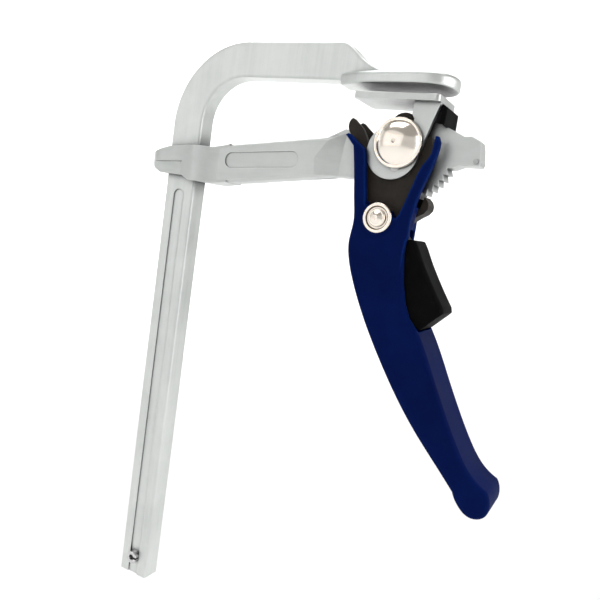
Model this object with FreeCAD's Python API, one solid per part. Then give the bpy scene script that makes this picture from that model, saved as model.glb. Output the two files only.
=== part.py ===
import FreeCAD, Part
import math
import os

# Quick release bar clamp, closed, with its sliding arm at the top of the bar.
# Millimetres. X runs from the bar to the lever, Y from front to back, Z up along the bar.
# The origin is on the fixed jaw's clamping face, which faces down.

# Bar, bend and fixed arm
THROAT = 60.0
BAR_WIDTH = 10.5
BAR_THICK = 6.0
BAR_BOTTOM = -157.0
BAR_EDGE = 0.7
ARM_TOP = 11.0
ARM_BOTTOM = 1.3
BEND_OUTER = 24.0
BEND_INNER = 13.0
FIXED_ARM_END = -17.0
GROOVE_WIDTH = 3.6
GROOVE_DEPTH = 0.4
GROOVE_TOP = -34.0

# Fixed jaw: a paddle with a ridge that runs up into the arm
JAW_TIP = 14.2
JAW_HALF = 7.9
JAW_THICK = 3.1
JAW_LEFT = -16.4
JAW_ROUND = 1.1
JAW_EDGE = 0.5

# Stop pin through the foot of the bar
STOP_RADIUS = 1.9
STOP_BORE = 0.9
STOP_SLIT = 0.7
STOP_FROM_END = 5.8
STOP_PROUD = 1.4

# Running and seating clearances
SLIDE_GAP = 0.15
PIN_GAP = 0.05
SIDE_GAP = 0.2
SLOT_GAP = 0.1

# Sliding arm
ARM_HALF = 4.2
TONGUE_HALF = 2.4
LOOP_LEFT = 6.0
LOOP_WALL = 2.5
KNUCKLE_HALF = 6.6
LOOP_TOP = -19.4
LOOP_BOTTOM = -29.3
LOOP_STEP = 0.5
BEVEL = 0.6
RECESS_LENGTH = 24.0
RECESS_RADIUS = 2.2
RECESS_DEPTH = 0.4
RECESS_MIDDLE = (-37.0, -21.3)
RECESS_RISE = 5.5
NOSE_X = 23.0
NOSE_TOP = -8.4

# Lever pivot and the ratchet sector round it
PIVOT_X = 3.0
PIVOT_Z = -14.1
RIVET_SHANK = 2.2
RIVET_HEAD = 6.2
RIVET_RIM = 0.9
RIVET_DOME = 2.5
WASHER_RADIUS = 5.0
WASHER_THICK = 0.5
BOSS_RADIUS = 5.6
TOOTH_TIP = 14.2
TOOTH_ROOT = 13.0
TOOTH_PITCH = 7.3
TOOTH_STEEP = 2.2
TOOTH_COUNT = 6
PAWL_ANGLE = -57.0

# Lever motion
LEVER_STEPS = 5
CAM_LIFT = 2.4
FOLLOWER_DROP = 5.6
FOLLOWER_RADIUS = 1.2

# Lever plates and the moulded handle
LINER_THICK = 1.2
HANDLE_HALF = 6.8
HANDLE_WALL = 1.3
HANDLE_EDGE = 1.1
EDGE_TOP = -39.0
CHANNEL_FOOT = -29.0
CAVITY_TOP = -34.5
REAR_HORN_CUT = 7.0
LINER_LEFT = -4.3
LINER_RIGHT = 4.7
DOWEL_RADIUS = 1.0
DOWEL_SINK = 1.6
DOWELS = ((0.4, -40.0), (3.1, -52.5))

# Pawl and trigger, on the small rivet
SMALL_X = 1.3
SMALL_Z = -32.8
SMALL_SHANK = 1.9
SMALL_BOSS = 2.2
SMALL_PROUD = 1.9
CUP_RADIUS = 3.8
CUP_THICK = 0.8
HUB_RADIUS = 4.0
PAWL_HALF = 2.4
PAWL_TAIL_HALF = 1.5
PAWL_BITE = 5.0
PAWL_CLEAR = 0.15
TRIGGER_HALF = 5.2
TRIGGER_ROUND = 1.5
TRIGGER_PIN = 1.0
TRIGGER_PIN_HALF = 4.0
TRIGGER_REACH = 29.6
TRIGGER_GAP = 0.4
PIN_SPOT = (10.9, -43.0)
SPRING_WIRE = 0.5
SPRING_RADIUS = 1.7
SPRING_TURNS = 5
SPRING_Z = -50.5
SPRING_FOOT = 0.75
SPRING_SEAT = 14.5
SPRING_HOLE = 3.0

# Pressure arm
JAW_GAP = 2.2
PAD_THICK = 1.6
PAD_LEFT = -10.5
PAD_RIGHT = 12.0
PAD_HALF = 6.9
PAD_CORNER = 1.2
CHEEK_THICK = 1.3
LOBE_X = 1.6
LOBE_Z = -16.2
LOBE_RADIUS = 6.8
SLOT_WALL = 1.0
TAB_WIDTH = 1.6
TABS = (6.6, 9.6)

# Block and pin on the arm's nose
GUIDE_HALF = 5.0
GUIDE_THICK = 1.2
GUIDE_TENON = 2.4
TIP_PIN_RADIUS = 0.6
TIP_PIN_PROUD = 0.3
TIP_PIN_INSET = 1.1
TIP_PIN_Z = -16.5

BAR_INNER = -THROAT
BAR_OUTER = BAR_INNER - BAR_WIDTH
BAR_MIDDLE = (BAR_INNER + BAR_OUTER) / 2
LINER_INNER = TONGUE_HALF + SIDE_GAP
LINER_OUTER = LINER_INNER + LINER_THICK
CHEEK_INNER = LINER_OUTER + SIDE_GAP
CHEEK_OUTER = CHEEK_INNER + CHEEK_THICK
WASHER_OUTER = CHEEK_OUTER + WASHER_THICK
CHANNEL_HALF = HANDLE_HALF - HANDLE_WALL
PAD_TOP = -JAW_GAP
PAD_BOTTOM = PAD_TOP - PAD_THICK
LEVER_SWING = LEVER_STEPS * TOOTH_PITCH
STOP_Z = BAR_BOTTOM + STOP_FROM_END
PIVOT = (PIVOT_X, PIVOT_Z)
SMALL = (SMALL_X, SMALL_Z)
GUIDE_LEFT = PAD_RIGHT + 2 * SIDE_GAP

# Outlines that two parts share
LINER_TAIL = [(LINER_RIGHT, CAVITY_TOP), (LINER_RIGHT, -46.0), (5.2, -56.0), (2.1, -56.0), (-0.7, -51.0),
              (LINER_LEFT, -43.0)]
PAWL_TAIL = [(1.4, -36.5), (5.1, -33.5), (13.8, -43.2), (12.0, -46.6), (9.1, -45.2)]
ARM_UPPER = [(-53.0, -19.2), (-48.0, -17.7), (-28.7, -15.1), (-18.2, -13.6)]
ARM_LOWER = [(-27.0, -25.3), (-43.0, -27.8), (-53.0, -29.2)]


def at(x, z, y=0.0):
    return FreeCAD.Vector(x, y, z)


def lines(points):
    return [Part.makeLine(at(*a), at(*b)) for a, b in zip(points, points[1:])]


def curve(points):
    spline = Part.BSplineCurve()
    spline.interpolate([at(*p) for p in points])
    return [spline.toShape()]


def arc(first, middle, last):
    return [Part.Arc(at(*first), at(*middle), at(*last)).toShape()]


def slab(edges, low, high):
    face = Part.Face(Part.Wire(edges))
    solid = face.extrude(FreeCAD.Vector(0, high - low, 0))
    solid.translate(FreeCAD.Vector(0, low, 0))
    return solid


def plate(points, low, high):
    return slab(lines(points + points[:1]), low, high)


def both_sides(make, low, high):
    return [make(-high, -low), make(low, high)]


def rod(x, z, radius, low, high):
    return Part.makeCylinder(radius, high - low, at(x, z, low), FreeCAD.Vector(0, 1, 0))


def block(x, z, low, high):
    """Box between two X values, two Z values and two Y values."""
    return plate([(x[0], z[0]), (x[1], z[0]), (x[1], z[1]), (x[0], z[1])], low, high)


def upright_slot(x, low_z, high_z, radius, low, high):
    ends = [rod(x, z, radius, low, high) for z in (low_z, high_z)]
    return block((x - radius, x + radius), (low_z, high_z), low, high).fuse(ends)


def polar(centre, radius, degrees):
    turn = math.radians(degrees)
    return (centre[0] + radius * math.cos(turn), centre[1] + radius * math.sin(turn))


def turned(solid, centre, degrees):
    copy = solid.copy()
    copy.rotate(at(*centre), FreeCAD.Vector(0, -1, 0), degrees)
    return copy


def plan_slab(points, low_z, high_z):
    """Upright body over a plan that is the same on both sides; the points run along one side."""
    sides = []
    for s in (-1, 1):
        spline = Part.BSplineCurve()
        spline.interpolate([FreeCAD.Vector(x, s * y, low_z) for x, y in points])
        sides.append(spline.toShape())
    ends = []
    for x, y in (points[0], points[-1]):
        if y > 0:
            ends.append(Part.makeLine(FreeCAD.Vector(x, -y, low_z), FreeCAD.Vector(x, y, low_z)))
    wire = Part.Wire(Part.__sortEdges__(sides + ends))
    return Part.Face(wire).extrude(FreeCAD.Vector(0, 0, high_z - low_z))


def write(name, *solids):
    shape = solids[0] if len(solids) == 1 else Part.makeCompound(list(solids))
    clean = shape.removeSplitter()
    clean.exportStep(os.path.join("parts", name + ".step"))
    print(name, len(clean.Solids), "solids", round(clean.Volume, 2), "mm3",
          "valid" if clean.isValid() else "BROKEN")


def rail_outline():
    outer_x = BAR_OUTER + BEND_OUTER
    outer_z = ARM_TOP - BEND_OUTER
    inner_x = BAR_INNER + BEND_INNER
    inner_z = ARM_BOTTOM - BEND_INNER
    edges = lines([(BAR_INNER, BAR_BOTTOM), (BAR_OUTER, BAR_BOTTOM), (BAR_OUTER, outer_z)])
    edges += arc((BAR_OUTER, outer_z), polar((outer_x, outer_z), BEND_OUTER, 135), (outer_x, ARM_TOP))
    edges += lines([(outer_x, ARM_TOP), (FIXED_ARM_END, ARM_TOP), (FIXED_ARM_END, ARM_BOTTOM),
                    (inner_x, ARM_BOTTOM)])
    edges += arc((inner_x, ARM_BOTTOM), polar((inner_x, inner_z), BEND_INNER, 135), (BAR_INNER, inner_z))
    edges += lines([(BAR_INNER, inner_z), (BAR_INNER, BAR_BOTTOM)])
    return edges


def neck_section(x, low, high, half):
    """Rounded rectangle across the arm, with the bar's own edge radius."""
    r = BAR_EDGE
    edges = []
    for y, z, start in ((half, high, 0), (-half, high, 90), (-half, low, 180), (half, low, 270)):
        centre = (y - math.copysign(r, y), z - r if z == high else z + r)
        first, middle, last = [polar(centre, r, start + a) for a in (0, 45, 90)]
        corner = [FreeCAD.Vector(x, p[0], p[1]) for p in (first, middle, last)]
        if edges:
            edges.append(Part.makeLine(edges[-1].Vertexes[-1].Point, corner[0]))
        edges.append(Part.Arc(*corner).toShape())
    edges.append(Part.makeLine(edges[-1].Vertexes[-1].Point, edges[0].Vertexes[0].Point))
    return Part.Wire(edges)


def jaw_paddle():
    """Flat paddle, widest under the pressure plate, with a rounded tip and rim."""
    side = [(JAW_LEFT, 3.2), (-13.6, 4.5), (-10.4, 5.8), (-5.2, 7.0), (0.1, 7.7), (4.9, JAW_HALF),
            (9.2, 7.2), (12.2, 5.2), (JAW_TIP - 0.5, 2.6), (JAW_TIP, 0.0)]
    paddle = plan_slab(side, 0.0, JAW_THICK)
    top = [e for e in paddle.Edges if e.BoundBox.ZMin > JAW_THICK - 0.01 and
           e.BoundBox.YLength > JAW_HALF / 2 and e.BoundBox.XLength > JAW_TIP]
    paddle = paddle.makeFillet(JAW_ROUND, top)
    foot = [e for e in paddle.Edges if e.BoundBox.ZMax < 0.01 and e.BoundBox.XLength > JAW_TIP]
    return paddle.makeFillet(JAW_EDGE, foot)


def profile_rail():
    half = BAR_THICK / 2
    rail = slab(rail_outline(), -half, half)
    long_edges = [e for e in rail.Edges if abs(abs(e.CenterOfMass.y) - half) < 1e-6 and
                  e.BoundBox.XMax < FIXED_ARM_END + 1]
    long_edges = [e for e in long_edges if e.BoundBox.XLength + e.BoundBox.ZLength > BAR_WIDTH + 1 and
                  not (e.BoundBox.XLength < 1e-6 and e.BoundBox.XMax > FIXED_ARM_END - 1)]
    rail = rail.makeFillet(BAR_EDGE, long_edges)
    for side in (-1, 1):
        low, high = sorted((side * (half - GROOVE_DEPTH), side * (half + 1)))
        rail = rail.cut(upright_slot(BAR_MIDDLE, BAR_BOTTOM - BAR_WIDTH, GROOVE_TOP, GROOVE_WIDTH / 2,
                                     low, high))
    sections = [neck_section(FIXED_ARM_END, ARM_BOTTOM, ARM_TOP, half),
                neck_section(FIXED_ARM_END + 3.0, ARM_BOTTOM - 0.7, ARM_TOP - 1.8, half + 0.1),
                neck_section(FIXED_ARM_END + 6.0, ARM_BOTTOM - 1.0, ARM_TOP - 4.3, half),
                neck_section(FIXED_ARM_END + 9.0, ARM_BOTTOM - 1.0, JAW_THICK + 2.0, half - 0.3),
                neck_section(FIXED_ARM_END + 13.0, ARM_BOTTOM - 1.0, JAW_THICK + 0.7, half - 0.6),
                neck_section(FIXED_ARM_END + 18.0, ARM_BOTTOM - 1.0, JAW_THICK + 0.15, half - 0.9)]
    ridge = Part.makeLoft(sections, True, False)
    rail = rail.fuse([ridge, jaw_paddle()])
    return rail.cut(rod(BAR_MIDDLE, STOP_Z, STOP_RADIUS, -BAR_THICK, BAR_THICK))


def end_stop_pin():
    reach = BAR_THICK / 2 + STOP_PROUD
    pin = rod(BAR_MIDDLE, STOP_Z, STOP_RADIUS, -reach, reach)
    pin = pin.cut(rod(BAR_MIDDLE, STOP_Z, STOP_BORE, -reach, reach))
    half = STOP_SLIT / 2
    return pin.cut(block((BAR_MIDDLE, BAR_MIDDLE + 2 * STOP_RADIUS), (STOP_Z - half, STOP_Z + half),
                         -reach, reach))


def sector_points():
    """Ratchet teeth from the nose round to the last gullet, steep flanks facing down."""
    points = []
    for k in range(TOOTH_COUNT - 1, -1, -1):
        gullet = PAWL_ANGLE + k * TOOTH_PITCH
        points.append(polar(PIVOT, TOOTH_TIP, gullet + TOOTH_STEEP))
        points.append(polar(PIVOT, TOOTH_ROOT, gullet))
    points.append(polar(PIVOT, TOOTH_TIP, PAWL_ANGLE - TOOTH_PITCH + TOOTH_STEEP))
    points.append(polar(PIVOT, TOOTH_ROOT - 0.4, PAWL_ANGLE - TOOTH_PITCH))
    return points


def sliding_arm_points():
    ear = [(-16.0, -12.5), (-13.1, -11.0), (-11.5, -11.4), (-9.0, -15.6), (-3.0, -16.0)]
    boss = [polar(PIVOT, BOSS_RADIUS, a) for a in (170, 145, 120, 95, 70, 50)]
    nose = [(10.0, NOSE_TOP + 0.3), (12.2, NOSE_TOP), (16.3, -10.1), (18.2, -10.9), (19.8, -10.7),
            (NOSE_X - 0.9, -11.7), (NOSE_X - 0.5, -13.3), (NOSE_X - 0.1, -15.9),
            (NOSE_X + 0.1, TIP_PIN_Z - 0.1), (NOSE_X - 0.2, -17.5), (18.4, -17.7)]
    foot = [(-1.5, -25.6), (-8.0, -23.3), (-16.5, -23.5)]
    return ARM_UPPER + ear + boss + nose + sector_points() + foot + ARM_LOWER


def thick_part(side):
    """The thicker middle of the arm, bevelled to the tongue by the lever and along its edges."""
    inner = ARM_UPPER + [(-12.6, -12.0), (-13.4, -20.2), (-13.4, -23.2)] + ARM_LOWER
    outer = [(-53.0, -19.2 - BEVEL), (-48.0, -17.7 - BEVEL), (-28.7, -15.1 - BEVEL),
             (-18.6, -13.7 - BEVEL), (-17.0, -14.4), (-20.4, -19.3), (-19.7, -24.4 + BEVEL),
             (-27.0, -25.3 + BEVEL), (-43.0, -27.8 + BEVEL), (-53.0, -29.2 + BEVEL)]
    wires = []
    for points, y in ((inner, side * TONGUE_HALF), (outer, side * ARM_HALF)):
        corners = [at(x, z, y) for x, z in points]
        wires.append(Part.makePolygon(corners + corners[:1]))
    return Part.makeLoft(wires, True, True)


def recess(side):
    """Shallow bare racetrack in the arm's face, along its rising centre line."""
    low, high = sorted((side * (ARM_HALF - RECESS_DEPTH), side * (ARM_HALF + 1)))
    x, z = RECESS_MIDDLE
    half = RECESS_LENGTH / 2 - RECESS_RADIUS
    ends = [rod(x + s * half, z, RECESS_RADIUS, low, high) for s in (-1, 1)]
    middle = block((x - half, x + half), (z - RECESS_RADIUS, z + RECESS_RADIUS), low, high)
    return turned(middle.fuse(ends), RECESS_MIDDLE, RECESS_RISE)


def loop_body():
    """The loop round the bar: what a side outline and a smooth plan have in common."""
    left = BAR_OUTER - LOOP_LEFT
    side = [(left, -23.6), (left + 0.7, -22.2), (BAR_OUTER + 2.5, LOOP_TOP - 0.5),
            (BAR_INNER - 3.0, LOOP_TOP + 0.1), (-53.5, -19.1), (-48.0, -17.7), (-48.0, -28.6),
            (-53.4, LOOP_BOTTOM - 0.1), (BAR_INNER, LOOP_BOTTOM), (BAR_INNER - 3.0, LOOP_BOTTOM + 1.2),
            (BAR_OUTER + 1.0, -28.1), (left + 4.6, -28.0), (left + 2.6, -26.9), (left + 0.6, -25.1)]
    wall = BAR_THICK / 2 + SLIDE_GAP + LOOP_WALL
    plan = [(left, 2.2), (left + 1.2, 4.3), (left + 3.8, wall - 0.15), (BAR_OUTER + 2.0, wall),
            (BAR_INNER - 3.6, wall), (BAR_INNER - 0.6, KNUCKLE_HALF * 0.95),
            (BAR_INNER + 2.0, KNUCKLE_HALF), (BAR_INNER + 5.0, KNUCKLE_HALF * 0.86),
            (-52.0, ARM_HALF + 0.2), (-48.0, ARM_HALF)]
    body = plate(side, -KNUCKLE_HALF - 1, KNUCKLE_HALF + 1).common(plan_slab(plan, LOOP_BOTTOM - 5,
                                                                             LOOP_TOP + 5))
    step = [(left - 1, -25.0), (BAR_INNER - 3.4, -24.0), (BAR_INNER - 3.9, LOOP_BOTTOM - 1),
            (left - 1, LOOP_BOTTOM - 1)]
    return body.cut(both_sides(lambda low, high: plate(step, low, high), wall - LOOP_STEP, wall + 1))


def bar_passage():
    half = BAR_THICK / 2 + SLIDE_GAP
    return block((BAR_OUTER - SLIDE_GAP, BAR_INNER + SLIDE_GAP), (2 * LOOP_BOTTOM, 0), -half, half)


def follower_slot():
    top = PIVOT_Z - FOLLOWER_DROP
    return upright_slot(PIVOT_X, top - CAM_LIFT, top, FOLLOWER_RADIUS + PIN_GAP, -ARM_HALF, ARM_HALF)


def sliding_arm():
    arm = plate(sliding_arm_points(), -TONGUE_HALF, TONGUE_HALF)
    arm = arm.fuse([thick_part(-1), thick_part(1), loop_body()])
    holes = [recess(-1), recess(1), bar_passage(), follower_slot(), guide_block(), tip_pin()]
    return arm.cut(holes + [rod(PIVOT_X, PIVOT_Z, RIVET_SHANK, -ARM_HALF, ARM_HALF)])


def guide_block():
    """Block on the arm's nose, close behind the pressure arm, which keeps it upright."""
    right = GUIDE_LEFT + GUIDE_THICK
    body = plate([(GUIDE_LEFT, NOSE_TOP - 0.1), (right, NOSE_TOP - 0.8), (right, PAD_BOTTOM - 1.0),
                  (GUIDE_LEFT, PAD_BOTTOM - 0.5)], -GUIDE_HALF, GUIDE_HALF)
    return body.fuse(block((GUIDE_LEFT, right), (NOSE_TOP - GUIDE_TENON, NOSE_TOP), -TONGUE_HALF / 2,
                           TONGUE_HALF / 2))


def tip_pin():
    reach = TONGUE_HALF + TIP_PIN_PROUD
    return rod(NOSE_X - TIP_PIN_INSET, TIP_PIN_Z, TIP_PIN_RADIUS, -reach, reach)


def domed_head(radius, rim, dome, shoulder, dimple_depth):
    """Half section of a rivet head on its seat at height 0: a rim, then a dome with a small dimple."""
    dimple = 0.6
    edges = lines([(0, 0), (radius, 0), (radius, rim - 0.3)])
    edges += arc((radius, rim - 0.3), (radius - 0.1, rim - 0.1), (radius - 0.3, rim))
    edges += lines([(radius - 0.3, rim), (shoulder, rim)])
    edges += arc((shoulder, rim), (shoulder * 0.62, rim + dome * 0.66), (dimple, rim + dome))
    edges += lines([(dimple, rim + dome), (0, rim + dome - dimple_depth), (0, 0)])
    return Part.Face(Part.Wire(edges)).revolve(at(0, 0), FreeCAD.Vector(0, 0, 1), 360)


def on_face(solid, centre, y, side):
    """Turn a solid built up the Z axis so that it stands out of the front or the rear face."""
    copy = solid.copy()
    copy.rotate(at(0, 0), FreeCAD.Vector(1, 0, 0), -90 * side)
    copy.translate(at(*centre, side * y))
    return copy


def lever_pivot_rivet():
    head = domed_head(RIVET_HEAD, RIVET_RIM, RIVET_DOME, RIVET_HEAD - 0.7, 0.3)
    heads = [on_face(head, PIVOT, WASHER_OUTER, s) for s in (-1, 1)]
    return rod(PIVOT_X, PIVOT_Z, RIVET_SHANK, -WASHER_OUTER, WASHER_OUTER).fuse(heads)


def pivot_washers():
    def ring(low, high):
        return rod(PIVOT_X, PIVOT_Z, WASHER_RADIUS, low, high).cut(rod(PIVOT_X, PIVOT_Z, RIVET_SHANK, low,
                                                                       high))
    return both_sides(ring, CHEEK_OUTER, WASHER_OUTER)


def spiral_slot(low, high):
    """Cam slot in the lever plates: its radius grows evenly as the lever opens."""
    half = FOLLOWER_RADIUS + PIN_GAP
    steps = 6

    def spot(share, across, ahead=0.0):
        radius = FOLLOWER_DROP + CAM_LIFT * share
        angle = -90 - LEVER_SWING * share
        heading = angle - math.degrees(math.atan2(radius * math.radians(LEVER_SWING), CAM_LIFT))
        return polar(polar(polar(PIVOT, radius, angle), across, heading + 90), ahead, heading)

    inner = [spot(i / steps, half) for i in range(steps + 1)]
    outer = [spot(i / steps, -half) for i in range(steps + 1)]
    edges = curve(inner) + arc(inner[-1], spot(1, 0, half), outer[-1])
    edges += curve(outer[::-1]) + arc(outer[0], spot(0, 0, -half), inner[0])
    return slab(edges, low, high)


def liner(low, high):
    """Lever plate: an ear on the left, a knob behind the rivet, a tip on the right and a long tail."""
    ear = [(-11.3, -12.0), (-11.9, -10.6), (-11.8, -9.4), (-11.0, -8.4), (-9.7, -9.2), (-8.2, -10.4),
           (-6.8, -12.2), (-5.9, -14.1), (-5.4, -16.0)]
    knob = [(-3.4, -15.4), (-1.4, -12.4), (-0.5, -9.9)]
    tip = [(6.7, -9.9), (7.2, -11.4), (8.6, -13.2), (9.2, -12.5), (9.7, -11.9), (10.3, -11.8),
           (10.8, -12.2), (11.2, -13.2), (12.2, -16.4), (11.4, -19.0), (10.5, -21.8), (9.6, -25.2),
           (8.5, -29.6), (7.0, -32.6)]
    heel = [(LINER_LEFT, CHANNEL_FOOT + 0.5), (-5.3, CHANNEL_FOOT + 1.6), (-7.8, -16.4), (-11.3, -12.0)]
    edges = curve(ear) + lines([ear[-1]] + knob)
    edges += arc(knob[-1], (3.1, -6.3), tip[0])
    edges += lines(tip + LINER_TAIL + heel)
    holes = [rod(PIVOT_X, PIVOT_Z, RIVET_SHANK + PIN_GAP, low, high),
             rod(SMALL_X, SMALL_Z, SMALL_SHANK, low, high), spiral_slot(low, high)]
    holes += [rod(x, z, DOWEL_RADIUS, low, high) for x, z in DOWELS]
    return slab(edges, low, high).cut(holes)


def liner_dowels():
    reach = LINER_OUTER + DOWEL_SINK
    return [rod(x, z, DOWEL_RADIUS, -reach, reach) for x, z in DOWELS]


def handle_outline():
    left = [(-8.8, -15.2), (-7.4, -22.2), (-6.2, -29.4), (-5.5, -34.6), (-5.9, -39.6), (-5.0, -44.6),
            (-2.4, -51.0), (2.1, -59.4), (7.3, -67.5), (13.0, -75.4), (19.4, -83.0), (26.3, -90.0),
            (31.1, -94.9)]
    bulb = [(31.1, -94.9), (33.1, -97.9), (36.3, -99.7), (39.4, -98.5), (40.2, -95.3), (39.0, -92.3)]
    right = [(39.0, -92.3), (34.7, -89.5), (31.2, -85.1), (26.8, -77.9), (22.4, -69.9), (18.9, -63.4),
             (15.9, -58.6)]
    seat = [(15.9, -58.6), (13.4, -56.0), (11.8, -52.6), (10.4, -47.6), (9.3, -40.6), (9.4, -37.4),
            (9.9, -36.6)]
    strip = [(9.9, -36.6), (9.8, -33.0), (10.2, -29.5), (11.0, -25.4), (12.1, -21.8), (13.1, -18.2),
             (13.8, -14.7)]
    horn = [(13.8, -14.7), (13.8, -13.2), (13.2, -12.0), (12.4, -11.9), (11.0, -13.0), (-5.2, -16.2),
            (-7.6, -14.4), (-9.3, -13.1), (-10.2, -12.7), (-10.9, -13.1), (-8.8, -15.2)]
    return curve(left) + curve(bulb) + curve(right) + lines(seat) + curve(strip) + lines(horn)


def handle_window():
    """Opening that shows the plates, the pressure arm and the rivet."""
    points = [(-5.2, -16.2), (-4.7, -17.7), (-4.2, -20.8), (-3.4, -25.5), (-2.6, -29.9), (-1.4, -30.6),
              (4.0, -30.6), (5.0, -32.2), (5.8, -32.4), (6.6, -31.3), (7.5, -28.6), (8.9, -23.6),
              (9.6, -21.1), (10.4, -19.1), (11.4, -17.6), (12.2, -16.0), (12.6, -11.0), (-5.2, -11.0)]
    return plate(points, -HANDLE_HALF - 1, HANDLE_HALF + 1)


def trigger_cavity():
    half = TRIGGER_HALF + TRIGGER_GAP
    reach = TRIGGER_REACH + TRIGGER_GAP
    first = polar(SMALL, reach, -45)
    last = polar(SMALL, reach, -78)
    edges = lines([(LINER_RIGHT, CAVITY_TOP), (24.0, CAVITY_TOP), first])
    edges += arc(first, polar(SMALL, reach, -62), last)
    edges += lines([last, (6.1, -57.0), (LINER_RIGHT, -46.0), (LINER_RIGHT, CAVITY_TOP)])
    return slab(edges, -half, half)


def lever_handle():
    shell = slab(handle_outline(), -HANDLE_HALF, HANDLE_HALF)
    rim = [e for e in shell.Edges if abs(abs(e.CenterOfMass.y) - HANDLE_HALF) < 1e-6 and
           e.CenterOfMass.z < EDGE_TOP]
    shell = shell.makeFillet(HANDLE_EDGE, rim)
    channel = block((-20, 20), (CHANNEL_FOOT, 0), -CHANNEL_HALF, CHANNEL_HALF)
    core = plate([(LINER_LEFT, CHANNEL_FOOT + 1), (20, CHANNEL_FOOT + 1), (20, CAVITY_TOP),
                  (LINER_RIGHT, CAVITY_TOP), (LINER_RIGHT, -43.0), (LINER_LEFT, -43.0)], -LINER_OUTER,
                 LINER_OUTER)
    tail = [(LINER_LEFT, CAVITY_TOP)] + LINER_TAIL
    pockets = both_sides(lambda low, high: plate(tail, low, high), LINER_INNER, LINER_OUTER)
    rear = plate([(REAR_HORN_CUT, -37.4), (20, -38.4), (20, 0), (REAR_HORN_CUT, 0)], LINER_OUTER,
                 HANDLE_HALF + 1)
    shell = shell.cut([channel, core, handle_window(), trigger_cavity(), rear] + pockets)
    shell = shell.cut(rod(SMALL_X, SMALL_Z, SMALL_SHANK, -HANDLE_HALF, HANDLE_HALF))
    return shell.cut(liner_dowels())


def rivet_cups():
    """Dished collars under the small rivet's heads."""
    edges = lines([(SMALL_SHANK, 0), (CUP_RADIUS, 0), (CUP_RADIUS, CUP_THICK * 0.6)])
    edges += arc((CUP_RADIUS, CUP_THICK * 0.6), (CUP_RADIUS - 0.12, CUP_THICK * 0.88),
                 (CUP_RADIUS - 0.4, CUP_THICK))
    edges += lines([(CUP_RADIUS - 0.4, CUP_THICK), (CUP_RADIUS - 0.8, CUP_THICK),
                    (SMALL_BOSS + 0.5, CUP_THICK * 0.4), (SMALL_SHANK, CUP_THICK * 0.4),
                    (SMALL_SHANK, 0)])
    cup = Part.Face(Part.Wire(edges)).revolve(at(0, 0), FreeCAD.Vector(0, 0, 1), 360)
    return [on_face(cup, SMALL, HANDLE_HALF, s) for s in (-1, 1)]


def pawl_rivet():
    foot = HANDLE_HALF + CUP_THICK * 0.4
    shank = rod(SMALL_X, SMALL_Z, SMALL_SHANK, -foot, foot)
    head = domed_head(SMALL_BOSS, 0.8, SMALL_PROUD - CUP_THICK * 0.4 - 0.8, SMALL_BOSS - 0.5, 0.2)
    return shank.fuse([on_face(head, SMALL, foot, s) for s in (-1, 1)])


def pawl():
    """Nose, hub and tail; the nose is drawn in its gullet and then swung clear of the tooth tips."""
    swing_arm = math.dist(polar(PIVOT, TOOTH_TIP, PAWL_ANGLE), SMALL)
    bitten = TOOTH_TIP + PAWL_CLEAR - math.radians(PAWL_BITE) * swing_arm
    out = polar((0, 0), 1, PAWL_ANGLE)

    def spot(outward, sideways):
        return (PIVOT_X + outward * out[0] + sideways * out[1],
                PIVOT_Z + outward * out[1] - sideways * out[0])

    nose = [spot(bitten, 0), spot(bitten + 1.2, -0.4), (11.8, -27.1), (11.8, -28.2), (11.1, -29.3),
            (9.8, -30.3), (5.5, -34.2), (-1.2, -30.2), (1.3, -28.9), (5.9, -29.5),
            spot(bitten + 2.5, 2.1)]
    body = turned(plate(nose, -PAWL_HALF, PAWL_HALF), SMALL, -PAWL_BITE)
    tail = plate(PAWL_TAIL, -PAWL_TAIL_HALF, PAWL_TAIL_HALF)
    solid = body.fuse([rod(SMALL_X, SMALL_Z, HUB_RADIUS, -PAWL_HALF, PAWL_HALF), tail])
    return solid.cut([rod(SMALL_X, SMALL_Z, SMALL_SHANK + PIN_GAP, -PAWL_HALF, PAWL_HALF), trigger_pin()])


def trigger():
    top = [(8.9, -46.0), (8.1, -38.4), (8.8, -37.5), (9.8, -36.9), (11.0, -37.0)]
    face = [(11.0, -37.0), (12.3, -39.0), (13.6, -41.4), (15.4, -44.4), (18.3, -48.8), (20.7, -52.2)]
    foot = polar(SMALL, TRIGGER_REACH, -59.5)
    edges = lines(top) + curve(face) + lines([face[-1], (21.0, -53.4), foot, (11.3, -57.0), top[0]])
    body = slab(edges, -TRIGGER_HALF, TRIGGER_HALF)
    rim = [e for e in body.Edges if abs(abs(e.CenterOfMass.y) - TRIGGER_HALF) < 1e-6 and
           e.CenterOfMass.x > 13.8 and e.CenterOfMass.z > -53.0]
    body = body.makeFillet(TRIGGER_ROUND, rim)
    pocket = plate(PAWL_TAIL, -PAWL_TAIL_HALF, PAWL_TAIL_HALF)
    spring_hole = Part.makeCylinder(SPRING_HOLE, SPRING_SEAT, at(0, SPRING_Z), FreeCAD.Vector(1, 0, 0))
    return body.cut([pocket, trigger_pin(), spring_hole])


def trigger_pin():
    return rod(*PIN_SPOT, TRIGGER_PIN, -TRIGGER_PIN_HALF, TRIGGER_PIN_HALF)


def pawl_spring():
    """Compression spring between the handle's back wall and a hole in the trigger."""
    start = LINER_RIGHT + SPRING_FOOT + SPRING_WIRE / 2
    length = SPRING_SEAT - SPRING_WIRE / 2 - SLOT_GAP - start
    helix = Part.makeHelix(length / SPRING_TURNS, length, SPRING_RADIUS)
    section = Part.Wire(Part.makeCircle(SPRING_WIRE / 2, FreeCAD.Vector(SPRING_RADIUS, 0, 0),
                                        FreeCAD.Vector(0, 1, 0)))
    coil = Part.Wire(helix).makePipeShell([section], True, True)
    coil.rotate(at(0, 0), FreeCAD.Vector(0, 1, 0), 90)
    coil.translate(at(start, SPRING_Z))
    return coil


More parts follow.
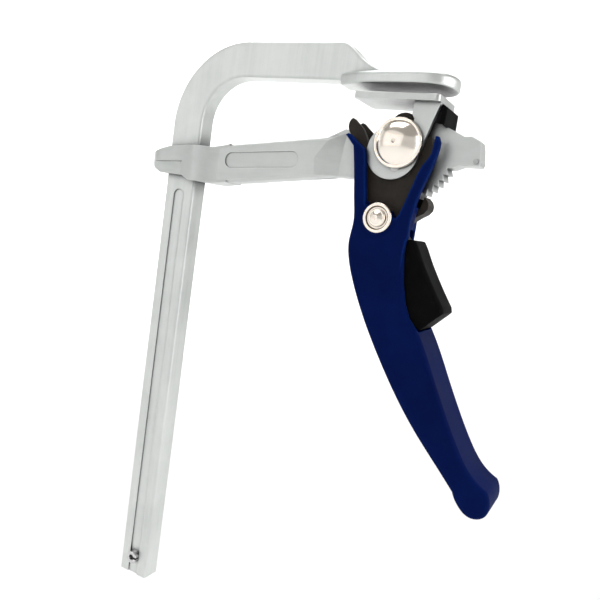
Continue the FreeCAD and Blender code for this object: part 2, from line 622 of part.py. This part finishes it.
def cheek(low, high):
    """One side of the pressure arm: a round lobe on the rivet, a neck, and two tabs let into the pad."""
    neck = plate([(5.4, PAD_BOTTOM), (PAD_RIGHT, PAD_BOTTOM), (11.5, -5.4), (10.6, -8.4), (9.8, -11.4),
                  (9.0, -14.2), (8.3, -17.2), (-4.4, -17.2), (0.0, -12.6), (3.0, -9.0), (5.8, -8.8),
                  (6.0, -8.0), (5.2, -6.8)], low, high)
    tabs = [block((x, x + TAB_WIDTH), (PAD_BOTTOM - 0.5, PAD_TOP), low, high) for x in TABS]
    solid = neck.fuse([rod(LOBE_X, LOBE_Z, LOBE_RADIUS, low, high),
                       rod(PIVOT_X, PIVOT_Z + CAM_LIFT, RIVET_SHANK + SLOT_WALL, low, high)] + tabs)
    solid = solid.cut(upright_slot(PIVOT_X, PIVOT_Z, PIVOT_Z + CAM_LIFT, RIVET_SHANK + SLOT_GAP, low,
                                   high))
    return solid.cut(cam_follower_pin())


def pressure_pad():
    pad = block((PAD_LEFT, PAD_RIGHT), (PAD_BOTTOM, PAD_TOP), -PAD_HALF, PAD_HALF)
    corners = [e for e in pad.Edges if e.BoundBox.ZLength > PAD_THICK - 0.1]
    pad = pad.makeFillet(PAD_CORNER, corners)
    slots = []
    for x in TABS:
        slots += both_sides(lambda low, high: block((x, x + TAB_WIDTH), (PAD_BOTTOM, PAD_TOP), low, high),
                            CHEEK_INNER, CHEEK_OUTER)
    return pad.cut(slots)


def cam_follower_pin():
    return rod(PIVOT_X, PIVOT_Z - FOLLOWER_DROP, FOLLOWER_RADIUS, -CHEEK_OUTER, CHEEK_OUTER)


def main():
    os.makedirs("parts", exist_ok=True)
    write("profile_rail", profile_rail())
    write("end_stop_pin", end_stop_pin())
    write("sliding_arm", sliding_arm())
    write("guide_block", guide_block())
    write("tip_pin", tip_pin())
    write("lever_pivot_rivet", lever_pivot_rivet())
    write("pivot_washers", *pivot_washers())
    front, rear = both_sides(liner, LINER_INNER, LINER_OUTER)
    write("lever_plate_front", front)
    write("lever_plate_rear", rear)
    write("plate_dowels", *liner_dowels())
    write("lever_handle", lever_handle())
    write("pawl_rivet", pawl_rivet())
    write("rivet_cups", *rivet_cups())
    write("pawl", pawl())
    write("trigger", trigger())
    write("trigger_pin", trigger_pin())
    write("pawl_spring", pawl_spring())
    front, rear = both_sides(cheek, CHEEK_INNER, CHEEK_OUTER)
    write("cheek_front", front)
    write("cheek_rear", rear)
    write("pressure_pad", pressure_pad())
    write("cam_follower_pin", cam_follower_pin())
    print("travel of the arm", round(LOOP_BOTTOM - 0.1 - (STOP_Z + STOP_RADIUS), 2), "mm")
    print("lever swing", LEVER_SWING, "degrees, lift", CAM_LIFT, "mm")


main()
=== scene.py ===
import bpy
import math
from mathutils import Matrix, Vector


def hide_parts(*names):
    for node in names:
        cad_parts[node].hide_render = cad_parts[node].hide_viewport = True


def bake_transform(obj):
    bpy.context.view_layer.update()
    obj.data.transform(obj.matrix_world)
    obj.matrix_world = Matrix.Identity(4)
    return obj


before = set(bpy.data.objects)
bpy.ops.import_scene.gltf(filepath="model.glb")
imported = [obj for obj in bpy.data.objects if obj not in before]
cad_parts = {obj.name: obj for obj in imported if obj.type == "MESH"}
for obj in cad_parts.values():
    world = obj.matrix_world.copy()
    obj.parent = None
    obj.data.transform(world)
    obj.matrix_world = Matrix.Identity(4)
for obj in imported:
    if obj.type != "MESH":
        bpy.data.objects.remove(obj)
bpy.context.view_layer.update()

MM = 0.001

# Camera: where it stands, which way it turns, and how wide it sees on its sensor
CAMERA_AT = Vector((61.0, -155.1, -36.2)) * MM
CAMERA_AZIMUTH = 27.7
CAMERA_PITCH = 7.1
CAMERA_ROLL = 8.5
CAMERA_LENS = 38.0
CAMERA_SENSOR = 36.0
CAMERA_NEAR = 0.01

# Round floor, below the lever's end when the arm is all the way down, with a wall that it curves up into
FLOOR_Z = -0.232
FLOOR_CORE = 0.01
FLOOR_RADIUS = 2.6
FLOOR_BEND = 1.2
FLOOR_WALL = 1.8
FLOOR_BEND_STEPS = 16
FLOOR_SIDES = 96
FLOOR_COLOUR = (0.86, 0.86, 0.86)
FLOOR_SHADE = 0.985
FLOOR_ROUGHNESS = 0.9

SCENE_MIDDLE = Vector((-0.012, 0.0, -0.070))
WORLD_COLOUR = (1.0, 0.99, 0.97, 1.0)
WORLD_STRENGTH = 0.34

# Soft boxes: name, place, power in watts, size, and what each one points at
LIGHTS = (
    ("overhead", (-0.25, 0.10, 1.10), 11.0, (1.2, 1.0), SCENE_MIDDLE),
    ("front_left", (-0.55, -1.05, 0.20), 5.0, (2.0, 1.6), SCENE_MIDDLE),
    ("right", (0.85, 0.05, 0.05), 5.0, (0.7, 1.0), SCENE_MIDDLE),
    ("backdrop_wash", (-1.3, 0.5, 1.3), 60.0, (1.6, 1.4), (-1.9, 2.2, 0.6)),
)

# Colours of each finish: the two that its clouds run between, then its edges (on the blue shell a painted
# highlight with some rubbed wear) and the painted shade for its crevices
ZINC_LOW = (0.55, 0.575, 0.56)
ZINC_HIGH = (0.67, 0.69, 0.675)
ZINC_STREAK = (0.76, 0.77, 0.76)
ZINC_BRIGHTEST = 0.95
ZINC_EDGE = (0.90, 0.91, 0.91)
ZINC_PAINTED_SHADE = (0.045, 0.045, 0.05)
NICKEL_LOW = (0.97, 0.89, 0.79)
NICKEL_HIGH = (0.995, 0.94, 0.86)
NICKEL_PAINTED_SHADE = (0.12, 0.09, 0.07)
OXIDE_LOW = (0.023, 0.019, 0.016)
OXIDE_HIGH = (0.041, 0.034, 0.028)
OXIDE_EDGE = (0.16, 0.14, 0.12)
BLUE_LOW = (0.0004, 0.0050, 0.054)
BLUE_HIGH = (0.0008, 0.0085, 0.078)
BLUE_PAINTED_HIGHLIGHT = (0.008, 0.060, 0.34)
BLACK_LOW = (0.0026, 0.0025, 0.0029)
BLACK_HIGH = (0.0042, 0.0041, 0.0046)
BLACK_EDGE = (0.010, 0.010, 0.011)
STEEL_LOW = (0.40, 0.40, 0.41)
STEEL_HIGH = (0.56, 0.56, 0.56)

# Painted shade: how far a gap's sides may stand apart and still darken it
ZINC_PAINTED_SHADE_REACH = 0.009
NICKEL_PAINTED_SHADE_REACH = 0.002

BEVEL_SAMPLES = 6
SHELTER_SAMPLES = 8


def toned(colour, tone, most=math.inf):
    """The colour times tone, with no part of it above most."""
    return tuple(min(most, tone * part) for part in colour)


class Material:
    """A node material with short calls for the nodes that this scene uses."""

    def __init__(self, name):
        self.material = bpy.data.materials.new(name)
        self.material.use_nodes = True
        self.tree = self.material.node_tree
        self.shader = self.tree.nodes["Principled BSDF"]
        self.place = self.node("ShaderNodeTexCoord").outputs["Object"]

    def node(self, kind, **settings):
        made = self.tree.nodes.new(kind)
        for key, value in settings.items():
            setattr(made, key, value)
        return made

    def link(self, source, target):
        self.tree.links.new(source, target)

    def feed(self, target, value):
        if isinstance(value, bpy.types.NodeSocket):
            self.link(value, target)
        else:
            target.default_value = value

    def feed_colour(self, target, value):
        if isinstance(value, bpy.types.NodeSocket):
            self.link(value, target)
        else:
            target.default_value = (*value, 1.0)

    def stretched(self, x, y, z):
        mapping = self.node("ShaderNodeMapping")
        self.link(self.place, mapping.inputs["Vector"])
        mapping.inputs["Scale"].default_value = (x, y, z)
        return mapping.outputs["Vector"]

    def noise(self, scale, detail, rough, place=None):
        made = self.node("ShaderNodeTexNoise")
        self.link(place or self.place, made.inputs["Vector"])
        made.inputs["Scale"].default_value = scale
        made.inputs["Detail"].default_value = detail
        made.inputs["Roughness"].default_value = rough
        return made.outputs["Fac"]

    def cells(self, scale):
        made = self.node("ShaderNodeTexVoronoi")
        self.link(self.place, made.inputs["Vector"])
        made.inputs["Scale"].default_value = scale
        return made.outputs["Distance"]

    def ramp(self, source, low, high, first=0.0, last=1.0):
        made = self.node("ShaderNodeMapRange")
        self.link(source, made.inputs["Value"])
        made.inputs["From Min"].default_value = low
        made.inputs["From Max"].default_value = high
        made.inputs["To Min"].default_value = first
        made.inputs["To Max"].default_value = last
        return made.outputs["Result"]

    def math(self, operation, a, b):
        made = self.node("ShaderNodeMath", operation=operation)
        self.feed(made.inputs[0], a)
        self.feed(made.inputs[1], b)
        return made.outputs[0]

    def times(self, a, share):
        return self.math("MULTIPLY", a, share)

    def plus(self, a, b):
        return self.math("ADD", a, b)

    def mix(self, share, first, last):
        made = self.node("ShaderNodeMix", data_type="RGBA")
        self.feed(made.inputs["Factor"], share)
        self.feed_colour(made.inputs["A"], first)
        self.feed_colour(made.inputs["B"], last)
        return made.outputs["Result"]

    def softened(self, radius):
        bevel = self.node("ShaderNodeBevel", samples=BEVEL_SAMPLES)
        bevel.inputs["Radius"].default_value = radius
        return bevel.outputs["Normal"]

    def edge_wear_and_highlight(self, radius, low=0.02, high=0.25):
        """Near 1 along sharp edges: how far a bevelled normal leans from the real one."""
        dot = self.node("ShaderNodeVectorMath", operation="DOT_PRODUCT")
        self.link(self.softened(radius), dot.inputs[0])
        self.link(self.node("ShaderNodeNewGeometry").outputs["Normal"], dot.inputs[1])
        lean = self.math("SUBTRACT", 1.0, dot.outputs["Value"])
        return self.ramp(lean, low, high)

    def painted_shade_mask(self, reach, low, high):
        """Mask for painted shade: 0 deep in crevices and corners, 1 on open faces."""
        made = self.node("ShaderNodeAmbientOcclusion", samples=SHELTER_SAMPLES)
        made.inputs["Distance"].default_value = reach
        return self.ramp(made.outputs["AO"], low, high)

    def bump(self, height, strength, distance, soften):
        made = self.node("ShaderNodeBump")
        made.inputs["Strength"].default_value = strength
        made.inputs["Distance"].default_value = distance
        self.link(height, made.inputs["Height"])
        self.link(self.softened(soften), made.inputs["Normal"])
        self.link(made.outputs["Normal"], self.shader.inputs["Normal"])

    def set(self, **values):
        for key, value in values.items():
            self.feed(self.shader.inputs[key.replace("_", " ")], value)


def zinc(name, streak, tone, grain, rough=0.36, painted_shade_range=(0.3, 0.8), soften=0.00035):
    """Bright zinc plate: soft clouds, fine streaks along streak, paler edges, and painted shade darkening
    its crevices and corners.
    """
    m = Material(name)
    clouds = m.noise(70.0, 5.0, 0.6)
    streaks = m.noise(60.0, 4.0, 0.6, m.stretched(*streak))
    fine = m.noise(grain, 3.0, 0.7)
    base = m.mix(m.ramp(clouds, 0.3, 0.7), toned(ZINC_LOW, tone), toned(ZINC_HIGH, tone))
    base = m.mix(m.ramp(streaks, 0.35, 0.75, 0.0, 0.35), base, toned(ZINC_STREAK, tone, ZINC_BRIGHTEST))
    base = m.mix(m.times(m.edge_wear_and_highlight(0.0006), 0.5), base, ZINC_EDGE)
    # Painted shade: crevices and corners darkened where the parts shade each other.
    base = m.mix(m.painted_shade_mask(ZINC_PAINTED_SHADE_REACH, *painted_shade_range), ZINC_PAINTED_SHADE, base)
    roughness = m.plus(m.ramp(clouds, 0.3, 0.7, rough - 0.06, rough + 0.07),
                       m.ramp(streaks, 0.3, 0.7, -0.03, 0.03))
    m.set(Base_Color=base, Metallic=0.92, Roughness=roughness)
    height = m.plus(m.times(clouds, 0.5), m.times(fine, 0.35))
    m.bump(m.plus(height, m.times(streaks, 0.3)), 0.22, 0.0002, soften)
    return m.material


def nickel(name):
    """Polished nickel with a warm cast, faint turning marks, light handling haze and painted shade in its
    crevices.
    """
    m = Material(name)
    haze = m.noise(90.0, 3.0, 0.5)
    marks = m.noise(1600.0, 2.0, 0.5)
    base = m.mix(m.ramp(haze, 0.35, 0.7), NICKEL_LOW, NICKEL_HIGH)
    # Painted shade: darkens the nickel in crevices, such as under the rivet heads.
    base = m.mix(m.painted_shade_mask(NICKEL_PAINTED_SHADE_REACH, 0.2, 0.7), NICKEL_PAINTED_SHADE, base)
    m.set(Base_Color=base, Metallic=1.0, Roughness=m.ramp(haze, 0.3, 0.75, 0.15, 0.21))
    m.bump(m.plus(m.times(haze, 0.4), m.times(marks, 0.3)), 0.03, 0.0001, 0.00012)
    return m.material


def dark_oxide(name):
    """Brown-black oxide on sheet steel, slightly blotched, with bare metal showing on the sheared edges."""
    m = Material(name)
    blotch = m.noise(160.0, 5.0, 0.65)
    fine = m.noise(1400.0, 3.0, 0.6)
    base = m.mix(m.ramp(blotch, 0.3, 0.7), OXIDE_LOW, OXIDE_HIGH)
    base = m.mix(m.times(m.edge_wear_and_highlight(0.0003, 0.05, 0.4), 0.35), base, OXIDE_EDGE)
    roughness = m.ramp(blotch, 0.3, 0.7, 0.48, 0.62)
    m.set(Base_Color=base, Metallic=0.1, Roughness=roughness, Specular_IOR_Level=0.15)
    m.bump(m.plus(blotch, m.times(fine, 0.5)), 0.25, 0.00012, 0.00015)
    return m.material


def blue_shell(name):
    """Deep blue glass-filled moulding: fine grain, soft sheen, and edges painted a brighter blue, partly
    rubbed wear and partly a painted highlight.
    """
    m = Material(name)
    grain = m.cells(2600.0)
    clouds = m.noise(55.0, 4.0, 0.55)
    base = m.mix(m.ramp(clouds, 0.3, 0.7), BLUE_LOW, BLUE_HIGH)
    # Painted highlight: the edges brightened towards a lit, saturated blue, with some rubbed wear.
    base = m.mix(m.times(m.edge_wear_and_highlight(0.0012, 0.01, 0.22), 0.3), base, BLUE_PAINTED_HIGHLIGHT)
    roughness = m.ramp(clouds, 0.3, 0.7, 0.52, 0.64)
    m.set(Base_Color=base, Roughness=roughness, Specular_IOR_Level=0.03)
    m.bump(m.plus(grain, m.times(clouds, 0.8)), 0.12, 0.00012, 0.0005)
    return m.material


def black_plastic(name):
    """Black moulding of the trigger and the guide block: eroded grain, rubbed edges a little paler."""
    m = Material(name)
    grain = m.cells(2200.0)
    clouds = m.noise(90.0, 4.0, 0.5)
    base = m.mix(m.ramp(clouds, 0.3, 0.7), BLACK_LOW, BLACK_HIGH)
    base = m.mix(m.times(m.edge_wear_and_highlight(0.0008, 0.01, 0.25), 0.4), base, BLACK_EDGE)
    roughness = m.ramp(clouds, 0.3, 0.7, 0.55, 0.68)
    m.set(Base_Color=base, Roughness=roughness, Specular_IOR_Level=0.03)
    m.bump(m.plus(grain, m.times(clouds, 0.5)), 0.2, 0.00012, 0.0004)
    return m.material


def drawn_steel(name, tone):
    """Plain drawn steel of pins and wire, with faint marks along it."""
    m = Material(name)
    haze = m.noise(300.0, 4.0, 0.6)
    drawn = m.noise(500.0, 3.0, 0.6, m.stretched(1.0, 0.06, 1.0))
    base = m.mix(m.ramp(haze, 0.3, 0.7), toned(STEEL_LOW, tone), toned(STEEL_HIGH, tone))
    m.set(Base_Color=base, Metallic=1.0, Roughness=m.ramp(drawn, 0.3, 0.7, 0.24, 0.38))
    m.bump(drawn, 0.12, 0.0001, 0.0002)
    return m.material


def plain(name, colour, rough):
    m = Material(name)
    shade = m.noise(6.0, 2.0, 0.5)
    m.set(Base_Color=m.mix(shade, colour, toned(colour, FLOOR_SHADE)), Roughness=rough)
    return m.material


FINISHES = {
    "rolled_zinc": zinc("rolled_zinc", (14.0, 14.0, 0.35), 1.03, 900.0, painted_shade_range=(0.4, 0.8), soften=0.0007),
    "forged_zinc": zinc("forged_zinc", (0.9, 8.0, 8.0), 0.86, 700.0, rough=0.40),
    "pressed_zinc": zinc("pressed_zinc", (6.0, 6.0, 1.2), 0.88, 1500.0, rough=0.34),
    "nickel": nickel("nickel"),
    "dark_oxide": dark_oxide("dark_oxide"),
    "blue_shell": blue_shell("blue_shell"),
    "black_plastic": black_plastic("black_plastic"),
    "pin_steel": drawn_steel("pin_steel", 1.35),
    "spring_steel": drawn_steel("spring_steel", 0.9),
}

FINISHED_NODES = {
    "rolled_zinc": ("profile_rail",),
    "forged_zinc": ("sliding_arm",),
    "pressed_zinc": ("cheek_front", "cheek_rear", "pressure_pad"),
    "nickel": ("lever_pivot_rivet", "pivot_washers", "pawl_rivet", "rivet_cups"),
    "dark_oxide": ("lever_plate_front", "lever_plate_rear", "pawl"),
    "blue_shell": ("lever_handle",),
    "black_plastic": ("guide_block", "trigger"),
    "pin_steel": ("end_stop_pin", "plate_dowels", "trigger_pin", "cam_follower_pin"),
    "spring_steel": ("tip_pin", "pawl_spring"),
}


def finish_nodes():
    for finish, nodes in FINISHED_NODES.items():
        for node in nodes:
            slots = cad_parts[node].data.materials
            slots.clear()
            slots.append(FINISHES[finish])


def bending_spring():
    """The trigger's coil, copied from the pawl_spring node into an object of its own that stands in for the
    hidden node.
    """
    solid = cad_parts["pawl_spring"]
    mesh = solid.data.copy()
    mesh.transform(solid.matrix_world)
    coil = bpy.data.objects.new("pawl_spring_coil", mesh)
    bpy.context.scene.collection.objects.link(coil)
    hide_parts("pawl_spring")
    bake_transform(coil)


def floor_rings():
    """Radius and height of each ring of the floor, from its middle to the top of its wall."""
    rings = [(FLOOR_CORE, 0.0)]
    for i in range(FLOOR_BEND_STEPS + 1):
        turn = math.pi / 2 * i / FLOOR_BEND_STEPS
        radius = FLOOR_RADIUS - FLOOR_BEND * (1.0 - math.sin(turn))
        rings.append((radius, FLOOR_BEND * (1.0 - math.cos(turn))))
    rings.append((FLOOR_RADIUS, FLOOR_WALL))
    return rings


def studio_floor():
    """Pale round floor that curves up into a low wall, so that every side has the same plain ground."""
    rings = floor_rings()
    vertices = []
    for radius, height in rings:
        for k in range(FLOOR_SIDES):
            around = 2.0 * math.pi * k / FLOOR_SIDES
            vertices.append((radius * math.cos(around), radius * math.sin(around), FLOOR_Z + height))
    faces = [tuple(range(FLOOR_SIDES))]
    for i in range(len(rings) - 1):
        for k in range(FLOOR_SIDES):
            after = (k + 1) % FLOOR_SIDES
            inner, outer = i * FLOOR_SIDES, (i + 1) * FLOOR_SIDES
            faces.append((inner + k, outer + k, outer + after, inner + after))
    mesh = bpy.data.meshes.new("floor")
    mesh.from_pydata(vertices, [], faces)
    mesh.polygons.foreach_set("use_smooth", [True] * len(faces))
    mesh.materials.append(plain("floor_pale", FLOOR_COLOUR, FLOOR_ROUGHNESS))
    floor = bpy.data.objects.new("floor", mesh)
    bpy.context.scene.collection.objects.link(floor)


def area_light(name, place, power, size, target):
    data = bpy.data.lights.new(name, "AREA")
    data.energy = power
    data.shape = "RECTANGLE"
    data.size, data.size_y = size
    lamp = bpy.data.objects.new(name, data)
    lamp.location = place
    lamp.rotation_euler = (Vector(target) - Vector(place)).to_track_quat("-Z", "Y").to_euler()
    bpy.context.scene.collection.objects.link(lamp)


def studio():
    world = bpy.data.worlds.new("studio")
    world.use_nodes = True
    background = world.node_tree.nodes["Background"]
    background.inputs["Color"].default_value = WORLD_COLOUR
    background.inputs["Strength"].default_value = WORLD_STRENGTH
    bpy.context.scene.world = world
    for light in LIGHTS:
        area_light(*light)
    bpy.context.scene.view_settings.view_transform = "Standard"


def photo_camera():
    data = bpy.data.cameras.new("photo_camera")
    data.lens = CAMERA_LENS
    data.sensor_width = CAMERA_SENSOR
    data.sensor_fit = "HORIZONTAL"
    data.clip_start = CAMERA_NEAR
    turn, rise = math.radians(CAMERA_AZIMUTH), math.radians(CAMERA_PITCH)
    back = Vector((math.sin(turn) * math.cos(rise), -math.cos(turn) * math.cos(rise), math.sin(rise)))
    right = Vector((0.0, 0.0, 1.0)).cross(back).normalized()
    up = back.cross(right)
    facing = Matrix((right, up, back)).transposed().to_4x4()
    roll = Matrix.Rotation(math.radians(CAMERA_ROLL), 4, "Z")
    camera = bpy.data.objects.new("photo_camera", data)
    camera.matrix_world = Matrix.Translation(CAMERA_AT) @ facing @ roll
    bpy.context.scene.collection.objects.link(camera)
    bpy.context.scene.camera = camera


finish_nodes()
bending_spring()
studio_floor()
studio()
photo_camera()
